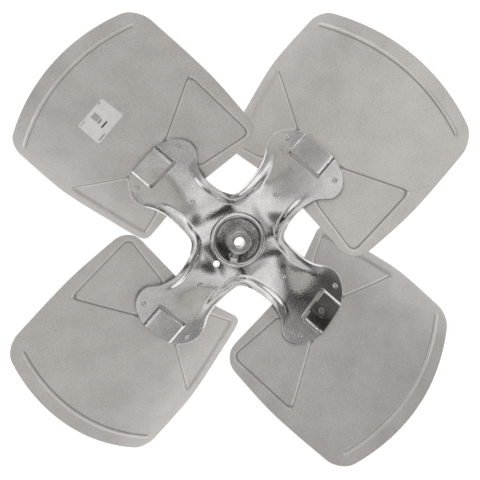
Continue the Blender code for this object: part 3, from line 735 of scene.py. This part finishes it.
# Blades
blade = {
    "tipRadius": 302.3, "tipLean": 0.0728, "tipFlatten": 0.000577,
    "lead": ((40, 107), (60, 112), (93, 118.5), (150, 126.5), (194, 129), (253, 130), (280, 130.2),
             (300, 130)),
    "trail": ((40, -58), (60, -68), (85, -79), (127, -87), (179, -95.5), (215, -97), (284, -95), (300, -94)),
    "root": ((-90, 72), (-80, 73.5), (-27, 80.5), (-20, 61), (20, 61), (27, 80), (90, 72), (130, 69)),
    "leadTipCorner": (18.0, 23.0), "trailTipCorner": (13.0, 17.0),
    "leadRootCorner": (20.0, 22.0), "trailRootCorner": (8.0, 8.0),
    "hiddenRoot": (96.0, 27.0),   # how far out and to each side an arm hides the blade
    "ceiling": 0.95,              # room left below the top of the whole fan
    "rows": 168, "columns": 170, "rowEase": (0.035, 1.12), "edgeRadius": 0.35,
}
bead = {"inset": 18.8, "width": 7.0, "height": 1.6, "ends": (-88.0, 113.0), "endFade": 4.0}
panels = {
    "depth": 1.4, "step": 2.0, "corner": 10.0, "creaseSlant": 0.92, "trailFade": (8.0, 5.0),
    "crease": ((-97, 193), (-86, 185), (-30, 147), (38, 146.5), (104, 174), (130, 185)),
    "rootLine": ((-95, 79), (-71, 83), (-39, 91), (-28, 92), (-20, 72), (20, 72), (28, 93), (37, 94.5),
                 (100, 80), (130, 76)),
    "sideLine": ((60, 104), (70, 105), (88, 107), (175, 111), (230, 113.5)),
    "leadStart": ((80, 30), (90, 32.5), (98, 35.5), (104, 43), (108, 47), (116, 50), (126, 49), (135, 44),
                  (141, 36), (146, 29), (152, 20)),
    "trailStart": ((76, -31), (81, -32.5), (95, -35.5), (106, -40.5), (113, -43), (125, -43.5), (136, -37.5),
                   (142, -31), (146, -25), (152, -18)),
}


def bladeTip(v):
    # the tip circle, leant and flattened a little to the sides
    radius = blade["tipRadius"] + blade["tipLean"] * v - blade["tipFlatten"] * v ** 2
    return np.sqrt(radius ** 2 - v ** 2)


def cornerLoss(distance, corner):
    # quarter ellipse: how far a rounded corner pulls a side in, at a distance from its end
    across, along = corner
    part = np.clip(1.0 - distance / along, 0.0, 1.0)
    return across * (1.0 - np.sqrt(1.0 - part ** 2))


def bladeGrid():
    # rows run from the root edge to the tip, closer at both, and each row from the trailing to the leading
    # side; a row's end and the side line there depend on each other, so they are worked out a few times over
    wave, power = blade["rowEase"]
    share = np.linspace(0.0, 1.0, blade["rows"])
    share = share - wave * np.sin(2 * np.pi * share)
    share = 1.0 - (1.0 - share) ** power
    ends = []
    for side, tipCorner, rootCorner, sign in (("trail", "trailTipCorner", "trailRootCorner", -1.0),
                                              ("lead", "leadTipCorner", "leadRootCorner", 1.0)):
        v = np.full(blade["rows"], sign * 100.0)
        for _ in range(8):
            rootU, tipU = stepsAt(blade["root"], v), bladeTip(v)
            u = rootU + share * (tipU - rootU)
            loss = cornerLoss(tipU - u, blade[tipCorner]) + cornerLoss(u - rootU, blade[rootCorner])
            v = lineAt(blade[side], u) - sign * loss
        ends.append(v)
    across = np.linspace(0.0, 1.0, blade["columns"])
    v = ends[0][:, None] + (ends[1] - ends[0])[:, None] * across
    rootU = stepsAt(blade["root"], v)
    u = rootU + share[:, None] * (bladeTip(v) - rootU)
    return u, v


def bladeLift(u, v):
    # tip bead: a raised cosine across its width; panels: pressed down by a smooth step round their border
    inset = bladeTip(v) - u
    across = np.clip(np.abs(inset - bead["inset"]) / (bead["width"] / 2), 0.0, 1.0)
    start, end = (v - bead["ends"][0]) / bead["endFade"], (bead["ends"][1] - v) / bead["endFade"]
    ends = smoothStep(start) * smoothStep(end)
    lift = bead["height"] * 0.5 * (1.0 + np.cos(np.pi * across)) * ends
    beadLine = np.where(ends > 0.5, inset - bead["inset"], patterns["farOff"])
    fromCrease = (stepsAt(panels["crease"], v) - u) * panels["creaseSlant"]
    fromRoot = u - stepsAt(panels["rootLine"], v)
    inner = softMin(fromCrease, fromRoot, panels["corner"])
    fromSide, fromArm = stepsAt(panels["sideLine"], u) - v, v - stepsAt(panels["leadStart"], u)
    leadPart = softMin(softMin(inner, fromSide, panels["corner"]), fromArm, panels["corner"])
    trailArm = stepsAt(panels["trailStart"], u) - v
    trailPart = softMin(inner, trailArm, panels["corner"])
    half = panels["step"] / 2
    pressed = smoothStep((leadPart + half) / panels["step"])
    fadeStart, fadeWidth = panels["trailFade"]
    fade = smoothStep((v - lineAt(blade["trail"], u) - fadeStart) / fadeWidth)
    pressed = pressed + smoothStep((trailPart + half) / panels["step"]) * fade
    leadLine = np.where(fromCrease < np.minimum(fromSide, fromRoot), -leadPart, leadPart)
    trailLine = np.where(fromCrease < fromRoot, -trailPart, trailPart)
    trailLine = trailLine + np.where(fade > 0.5, 0.0, patterns["farOff"])
    panelLine = np.where(v > 0.0, leadLine, trailLine)
    panelLine = panelLine * np.where(np.abs(panelLine) > 4.0, 15.0, 1.0)   # off the folds it grows at once
    return lift - panels["depth"] * pressed, panelLine, beadLine


def makeBlades():
    # the root, hidden below the arm, bows down where the arm does; two distances are kept for the finish to
    # draw painted fold shade and highlights along
    u, v = bladeGrid()
    lift, panelLine, beadLine = bladeLift(u, v)
    w = liftOver(u, v, lift)
    under = spiderHeight(u, v) - armLift / seatNormal(u, v)[2]
    hiddenU, hiddenV = blade["hiddenRoot"]
    w = np.where((u < hiddenU) & (np.abs(v) < hiddenV), np.minimum(w, under), w)
    w = np.minimum(w, cadHigh[2] * 1000 - floorLift - blade["ceiling"])
    faces = gridFaces(*u.shape)
    for number, angle in enumerate(fan["armAngles"], start=1):
        points = placeOnFan(u, v, w, angle).reshape(-1, 3)
        piece = makeMesh(f"blade_sheet_{number}", points, faces, bladeMetal, closed=False,
                         kept=[("panelLine", panelLine), ("beadLine", beadLine)])
        addThickness(piece, fan["bladeSheet"], blade["edgeRadius"])
        finishShape(piece, 40)
        standFor(piece, f"blade_{number}")


makeBlades()
print("blades ready")

# Rivets and the balance clip
rivets = {
    "places": {"a": (129.3, 37.2), "b": (129.8, -33.5), "c": (70.5, -1.7)},
    "shank": 2.2, "head": 3.5, "headMiddle": 0.8, "dimple": 1.5, "rounding": 0.28, "segments": 40,
}
clip = {
    "place": (131.7, -0.9), "head": 4.1, "sheet": 0.9, "width": 13.0, "end": 138.0, "shorterBelow": 4.0,
    "spare": 0.15, "foldRadius": 1.0, "edgeRadius": 0.2,
}
padTop = spiderTop + float(padLift(clip["place"][1])) + clip["spare"]
clipTop = padTop + fan["clearance"] + clip["sheet"]


def rivetAxis(place, angle, lift):
    # foot on the blade's middle surface and direction of a rivet whose head lies over a place
    normal = seatNormal(*place)
    u, v = place[0] - normal[0] * lift, place[1] - normal[1] * lift
    way = Vector(turnedTo(angle, *seatNormal(u, v))).normalized()
    return placeOnFan(u, v, seatHeight(u, v), angle), way


def makeRivet(name, node, place, angle, head, lift, top, bottom, material):
    # dished head with a punched dimple, plain shank and an upset tail
    high, low, shank = top + fan["clearance"], bottom - fan["clearance"], rivets["shank"]
    dimple = rivets["dimple"]
    corners = [(0.0, high + 0.35), (dimple * 0.7, high + 0.4), (dimple, high + 1.0),
               (head * 0.72, high + 1.12), (head * 0.97, high + 0.55), (head, high + 0.1),
               (head * 0.93, high), (shank, high), (shank, low),
               (head * 0.9, low), (head * 0.92, low - 0.6), (head * 0.7, low - 1.1), (0.0, low - 1.15)]
    foot, way = rivetAxis(place, angle, lift)
    profile = roundedLine(corners, rivets["rounding"], 3)
    piece = revolve(name, profile, rivets["segments"], foot, way, material)
    finishShape(piece, 45)
    standFor(piece, node)


def makeClip():
    # spring clip: a strip carried along its folded side line
    angle = fan["armAngles"][2]
    foot, way = rivetAxis(clip["place"], angle, clipTop + rivets["headMiddle"])
    outward = pointing(angle)
    outward = (outward - way * outward.dot(way)).normalized()
    across = way.cross(outward)
    half = clip["sheet"] / 2
    inner = spider["slotU"][1] - fan["clearance"] - clip["place"][0] - half
    outer = clip["end"] - clip["place"][0]
    roof = padTop + fan["clearance"] + half
    under = padTop - fan["spiderSheet"] - fan["clearance"] - half
    path = [(outer, roof), (inner, roof), (inner, under), (outer - clip["shorterBelow"], under)]
    path = roundedLine(path, clip["foldRadius"], 6)
    sides = np.linspace(-clip["width"] / 2, clip["width"] / 2, 9)
    basis = np.array([outward, way, across]) / 1000
    grid = np.stack(np.broadcast_arrays(path[:, 0][:, None], path[:, 1][:, None], sides[None, :]), -1)
    points = grid @ basis + np.array(foot)
    faces = gridFaces(*grid.shape[:2])
    piece = makeMesh("balance_clip_spring", points.reshape(-1, 3), faces, clipMetal, closed=False)
    addThickness(piece, clip["sheet"], clip["edgeRadius"])
    finishShape(piece, 40)
    standFor(piece, "balance_clip")


for number, angle in enumerate(fan["armAngles"], start=1):
    for letter, place in rivets["places"].items():
        makeRivet(f"rivet_head_{number}{letter}", f"rivet_{number}{letter}", place, angle, rivets["head"],
                  spiderTop + rivets["headMiddle"], spiderTop, -fan["bladeSheet"] / 2, rivetMetal)
makeClip()
makeRivet("balance_rivet_head", "balance_rivet", clip["place"], fan["armAngles"][2], clip["head"],
          clipTop + rivets["headMiddle"], clipTop,
          padTop - fan["spiderSheet"] - fan["clearance"] - clip["sheet"], clipRivetMetal)
print("rivets and clip ready")

# Hub barrel and its set screw
hub = {
    # the barrel's side line from the bore round its foot, its collar and its rim: radii, and heights over the
    # web's underside, the web's top and the barrel's top
    "foot": ((7.15, -1.6), (12.4, -1.6), (12.4, 0.0), (10.7, 0.0)),
    "collar": ((10.7, 0.0), (15.4, 0.0), (15.4, 0.8), (14.7, 2.0), (14.2, 4.0)),
    "rim": ((14.2, -2.6), (12.9, -1.3), (11.4, -0.9), (10.9, -1.4), (10.4, -0.4), (10.0, 0.0), (7.35, 0.0),
            (6.35, -1.0)),
    "boreEnd": (6.35, -0.8), "rounding": 0.5, "barrelSides": 128,
    "screwHeight": -2.0, "screwAngle": -107.0, "screwRadius": 3.75, "screwStart": 7.2,
    "threadPitch": 1.4, "threadDepth": 0.55, "pointTaper": 0.9,
    "screwSides": 48, "head": 9.0, "headStart": 20.3, "headTurn": 14.0, "squareness": 9,
    "headSteps": (   # place along the head, and its size there
        (0.0, 0.0), (0.0, 0.86), (0.25, 0.93), (0.7, 0.985), (1.3, 1.0), (2.4, 1.0), (6.6, 1.0), (7.2, 0.985),
        (7.6, 0.94), (7.9, 0.88), (8.0, 0.8), (8.0, 0.0)),
}


def makeBarrel():
    # turned barrel: its side line carried round the fan axis
    floor = spider["webHeight"] - spider["dishDepth"]
    webTop = floor + fan["spiderSheet"] / 2 + fan["clearance"]
    webBottom = floor - fan["spiderSheet"] / 2 - fan["clearance"]
    runs = ((hub["foot"], webBottom), (hub["collar"], webTop), (hub["rim"], fan["barrelTop"]),
            ((hub["boreEnd"],), webBottom))
    corners = [(radius, level + height) for run, level in runs for radius, height in run]
    profile = roundedLine(corners, hub["rounding"], 4, closed=True)
    foot = (0, 0, floorLift / 1000)
    piece = revolve("hub_barrel_turned", profile, hub["barrelSides"], foot, (0, 0, 1), hubMetal,
                    closedProfile=True)
    way = pointing(hub["screwAngle"])
    centre = way * 0.012 + Vector((0, 0, (hub["screwHeight"] + floorLift) / 1000))
    tool = roundTool("screwTool", centre, way, hub["screwRadius"] + fan["clearance"], 16.0)
    cutWith(piece, [tool])
    finishShape(piece, 35)
    bpy.data.objects.remove(tool)
    standFor(piece, "hub_barrel")


def makeScrew():
    # threaded shank: radius dips along a helix; head: a rounded square carried along the axis with eased ends
    way, up = pointing(hub["screwAngle"]), Vector((0, 0, 1))
    basis = np.array([way, up.cross(way), up]) / 1000
    foot = np.array([0.0, 0.0, (hub["screwHeight"] + floorLift) / 1000])
    angles = fullTurn(hub["screwSides"])[None, :]
    start, square = hub["screwStart"], hub["squareness"]
    along = np.linspace(start, hub["headStart"] + 0.4, 130)[:, None]
    wave = 0.5 - 0.5 * np.cos(2 * np.pi * along / hub["threadPitch"] - angles)
    ease = smoothStep((along - start) / 1.4) * smoothStep((hub["headStart"] - along) / 1.2)
    taper = hub["pointTaper"] * (1.0 - smoothStep((along - start) / 1.2))
    radius = hub["screwRadius"] - hub["threadDepth"] * wave * ease - taper
    headAlong, size = np.array(hub["headSteps"]).T[:, :, None]
    outline = (np.abs(np.cos(angles)) ** square + np.abs(np.sin(angles)) ** square) ** (1 / square)
    along = np.vstack([along[:1], along, headAlong + hub["headStart"]])
    radius = np.vstack([0 * radius[:1], radius, size * (hub["head"] / 2 / outline)])
    angles = angles + math.radians(hub["headTurn"])
    grid = np.stack(np.broadcast_arrays(along, radius * np.cos(angles), radius * np.sin(angles)), -1)
    points = grid @ basis + foot
    faces = gridFaces(*radius.shape, wrapColumns=True)
    piece = makeMesh("set_screw_square", points.reshape(-1, 3), faces, rivetMetal)
    finishShape(piece, 12)
    standFor(piece, "set_screw")


makeBarrel()
makeScrew()
print("hub ready")

# Paper label on the first blade, with a few plain bars
label = {
    "corners": ((231.5, -21.5), (233, 23), (201.3, 24.7), (198.8, -21.8)),
    "sides": (32.0, 44.0), "rounding": 2.3, "thickness": 0.12, "gap": 0.06, "steps": (60, 80),
    "paper": (0.90, 0.865, 0.85), "mottle": (0.96, 1.04), "roughness": (0.4, 0.55), "barEdge": 0.004,
    "bars": (   # middle across and along, half width, half length, darkness
        (0.69, 0.49, 0.03, 0.11, 0.97), (0.28, 0.50, 0.14, 0.09, 0.42), (0.49, 0.485, 0.04, 0.075, 0.6),
        (0.05, 0.85, 0.02, 0.045, 0.55), (0.08, 0.135, 0.02, 0.095, 0.4), (0.92, 0.20, 0.025, 0.12, 0.55),
    ),
}


def makeLabel():
    # four corners joined evenly in the blade's own frame, with rounded ends, then laid on its top face
    s = np.linspace(0.0, 1.0, label["steps"][0])[:, None]
    t = np.linspace(0.0, 1.0, label["steps"][1])[None, :]
    radius = label["rounding"]
    width, length = label["sides"]
    loss = cornerLoss(np.minimum(t, 1.0 - t) * length, (radius, radius)) / width
    s = loss + (1.0 - 2.0 * loss) * s
    t = t + 0.0 * s
    a, b, c, d = (np.array(corner, float) for corner in label["corners"])
    spot = [(1 - s) * ((1 - t) * a[k] + t * b[k]) + s * ((1 - t) * d[k] + t * c[k]) for k in (0, 1)]
    lift = fan["bladeSheet"] / 2 + label["gap"] + label["thickness"] / 2
    points = placeOnFan(spot[0], spot[1], liftOver(spot[0], spot[1], lift), fan["armAngles"][0])
    piece = makeMesh("blank_label", points.reshape(-1, 3), gridFaces(*spot[0].shape), labelPaper(),
                     closed=False, kept=[("labelAcross", s), ("labelAlong", t)])
    solid = piece.modifiers.new("paper", "SOLIDIFY")
    solid.thickness = label["thickness"] / 1000
    solid.offset = 0.0
    finishShape(piece, 50)
    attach(piece, "root")


def labelPaper():
    # bright paper with soft fibres, and bars where both distances from a bar's middle are small
    material, tree, shader, place = newFinish("labelPaper")
    grain = addNode(tree, "Group",
                    {"Vector": place, "Grain Size": 0.8, "Patch Size": 9.0, "Contrast": 1.5},
                    node_tree=grainGroup).outputs
    shade = ranged(tree, grain["Patches"], 0.0, 1.0, *label["mottle"])
    spots = [addNode(tree, "Attribute", attribute_name=name).outputs["Fac"]
             for name in ("labelAcross", "labelAlong")]
    for across, along, halfWidth, halfLength, darkness in label["bars"]:
        beyond = []
        for spot, middle, half in zip(spots, (across, along), (halfWidth, halfLength)):
            away = mathNode(tree, "ABSOLUTE", mathNode(tree, "SUBTRACT", spot, middle))
            beyond.append(mathNode(tree, "SUBTRACT", away, half))
        edge = mathNode(tree, "MAXIMUM", *beyond)
        bar = ranged(tree, edge, -label["barEdge"], label["barEdge"], 1.0 - darkness, 1.0)
        shade = mathNode(tree, "MULTIPLY", shade, bar)
    feed(tree, shader, {"Base Color": shaded(tree, label["paper"], shade),
                        "Roughness": ranged(tree, grain["Grain"], 0.0, 1.0, *label["roughness"])})
    return material


makeLabel()
print("label ready")

# Floor and studio light
studio = {
    "floorHalf": 9.0, "floorGlow": 0.87, "floorPaint": (0.46, 0.5),
    "backdrop": 1.05, "warmth": (1.0, 0.99, 0.975, 1.0),
    "sky": (0.278, 0.702),   # brightness at the horizon and what is added towards the zenith
    "darkest": 0.02,
    "panels": (              # turn and rise of the panel's middle, its inner and outer reach, its strength
        (270, 72, 0, 16, -0.889), (330, 60, 0, 16, -0.790), (162, 2, 0, 16, -0.782), (210, 60, 0, 16, -0.702),
        (0, 48, 0, 16, -0.540), (0, 84, 0, 16, -0.499), (80, 36, 4, 26, 0.490), (20, 36, 0, 16, -0.459),
        (36, 24, 0, 16, -0.445), (0, 12, 4, 26, -0.325), (220, 36, 0, 16, -0.294), (216, 12, 0, 16, -0.294),
        (252, 24, 4, 26, 0.232), (140, 36, 0, 16, -0.221),
    ),
}


def makeFloor():
    # pale floor with a faint cloudiness, lit a little from itself
    material, tree, shader, place = newFinish("floorPaint")
    tint = ranged(tree, noiseAt(tree, place, 3.0), 0.0, 1.0, *studio["floorPaint"])
    feed(tree, shader, {"Base Color": tint, "Roughness": 0.9, "Emission Color": (1.0, 1.0, 1.0, 1.0),
                        "Emission Strength": studio["floorGlow"]})
    corners = studio["floorHalf"] * np.array([(-1, -1, 0), (1, -1, 0), (1, 1, 0), (-1, 1, 0)])
    floor = makeMesh("floor", corners, np.array([(0, 1, 2, 3)]), material, closed=False)


def makeStudio():
    # soft sky that brightens evenly with height, with broad soft panels added to it or taken away
    world = bpy.data.worlds.new("studio")
    world.use_nodes = True
    scene.world = world
    tree = world.node_tree
    tree.nodes.clear()
    direction = addNode(tree, "TexCoord").outputs["Generated"]
    height = addNode(tree, "SeparateXYZ", {0: direction}).outputs["Z"]
    total = mathNode(tree, "ADD", mathNode(tree, "MULTIPLY", height, studio["sky"][1]), studio["sky"][0])
    for turn, rise, inner, outer, strength in studio["panels"]:
        aim = pointing(turn, rise)
        facing = addNode(tree, "VectorMath", {0: direction, 1: aim}, operation="DOT_PRODUCT")
        rim, core = math.cos(math.radians(outer)), math.cos(math.radians(inner))
        soft = ranged(tree, facing.outputs["Value"], rim, core, 0.0, strength, smooth=True)
        total = mathNode(tree, "ADD", total, soft)
    total = mathNode(tree, "MAXIMUM", total, studio["darkest"])
    seen = addNode(tree, "LightPath").outputs["Is Camera Ray"]
    plain = addNode(tree, "Background", {"Color": (1.0, 1.0, 1.0, 1.0), "Strength": studio["backdrop"]})
    lit = addNode(tree, "Background", {"Color": studio["warmth"], "Strength": total})
    both = addNode(tree, "MixShader", {0: seen, 1: lit.outputs[0], 2: plain.outputs[0]})
    addNode(tree, "OutputWorld", {"Surface": both.outputs[0]})


makeFloor()
makeStudio()
scene.view_settings.view_transform = "Standard"
print("floor and light ready")
